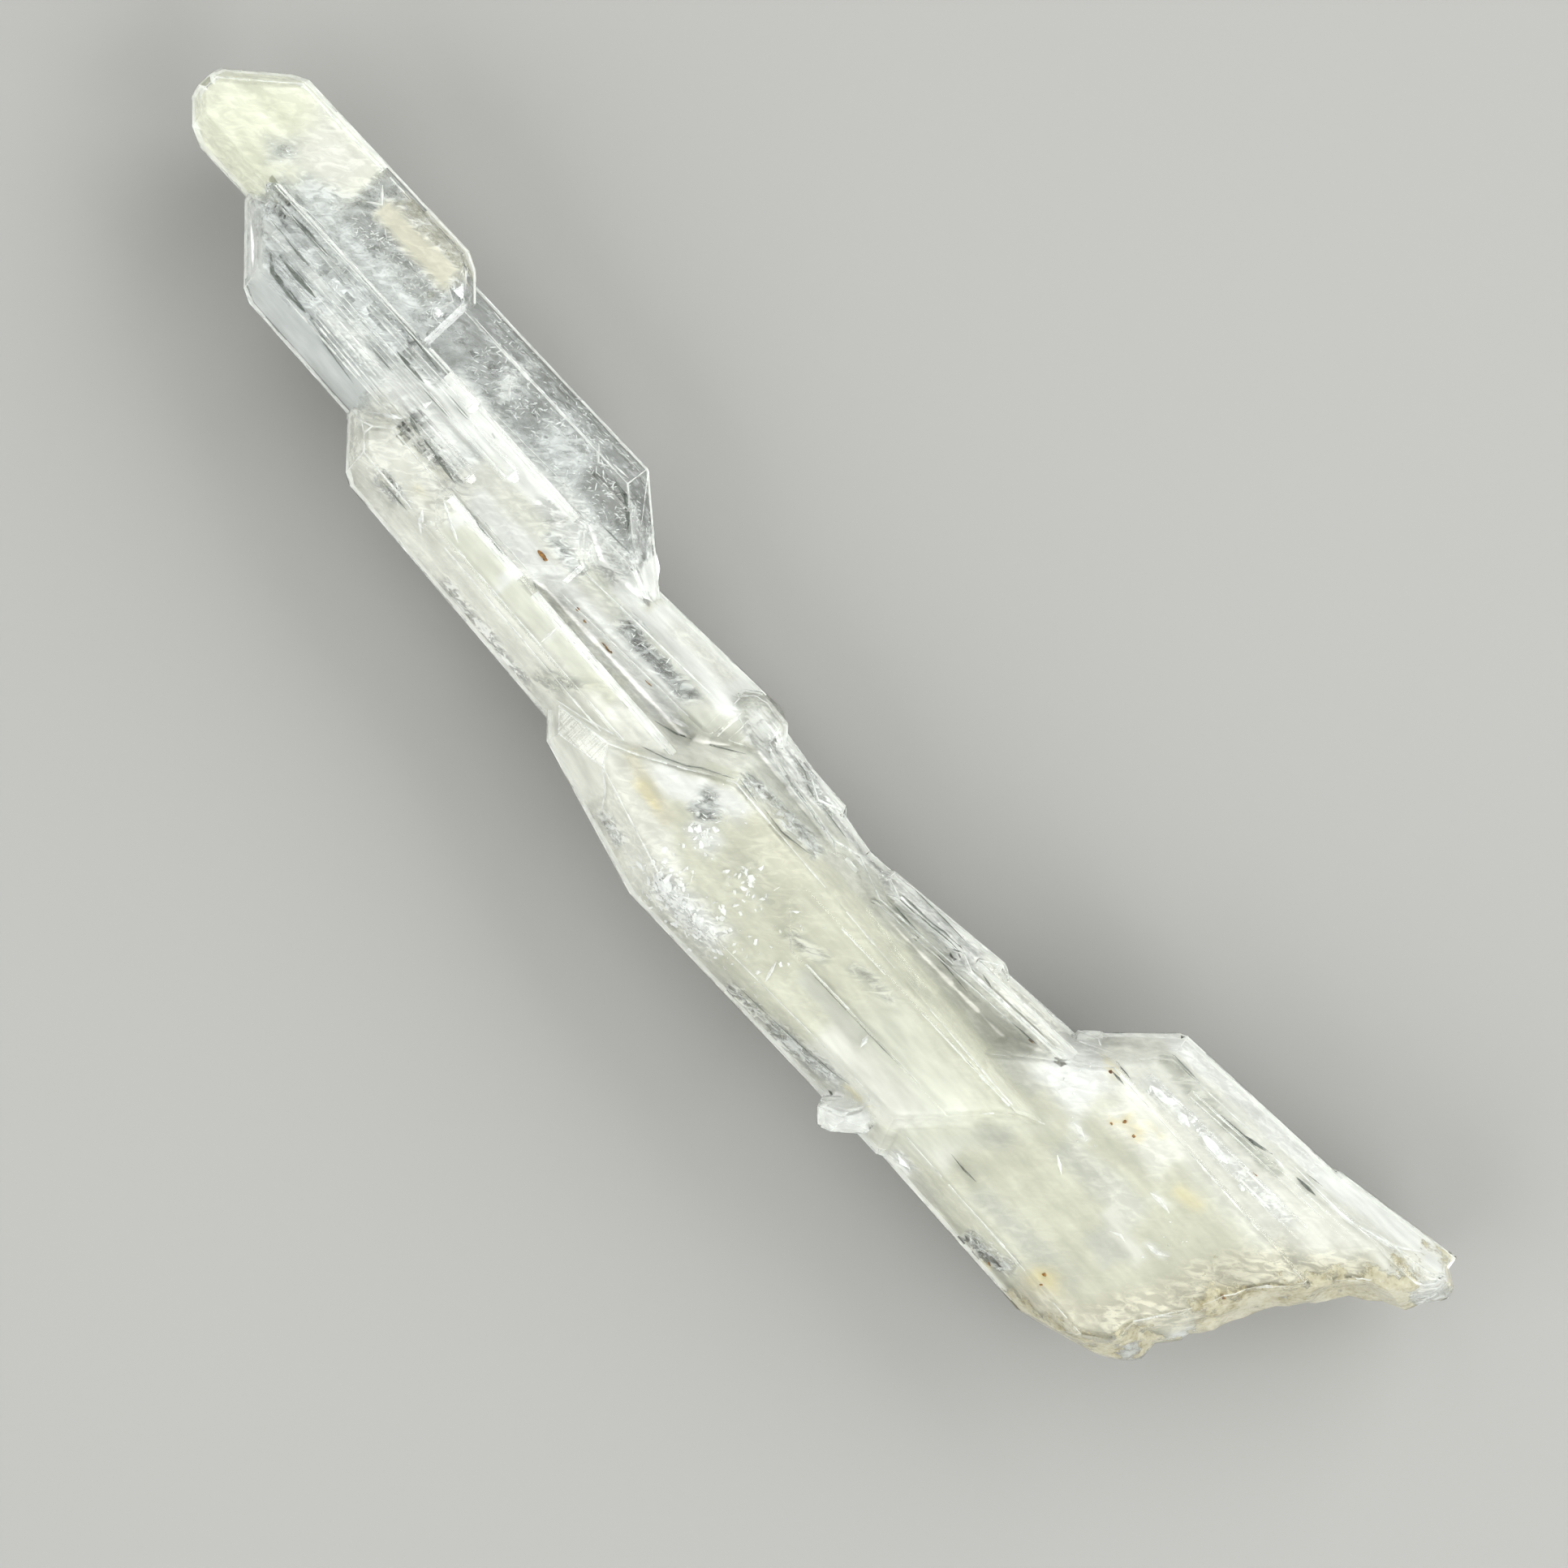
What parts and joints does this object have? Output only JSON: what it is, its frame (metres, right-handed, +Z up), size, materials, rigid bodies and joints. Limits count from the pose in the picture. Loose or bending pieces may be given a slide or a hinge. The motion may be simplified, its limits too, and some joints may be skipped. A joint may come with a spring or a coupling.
{
  "type": "faden quartz crystal cluster",
  "caption": "Long tabular cluster of clear to milky quartz crystals grown side by side, with sloping natural tips at one end and a jagged broken root at the other.",
  "frame": {"origin": "on the surface the cluster rests on, under the middle of its outline seen from above", "axes": "+X along the cluster from its free tips to its broken root, +Y across its width towards the side where the root fans out, +Z up out of the broad side it lies on"},
  "size_m": [0.05, 0.0108, 0.0052],
  "materials": {
    "quartz": "clear to milky natural crystal faces, glassy lustre"
  },
  "bodies": {
    "root": {"quartz_cluster": "quartz"}
  },
  "joints": []
}
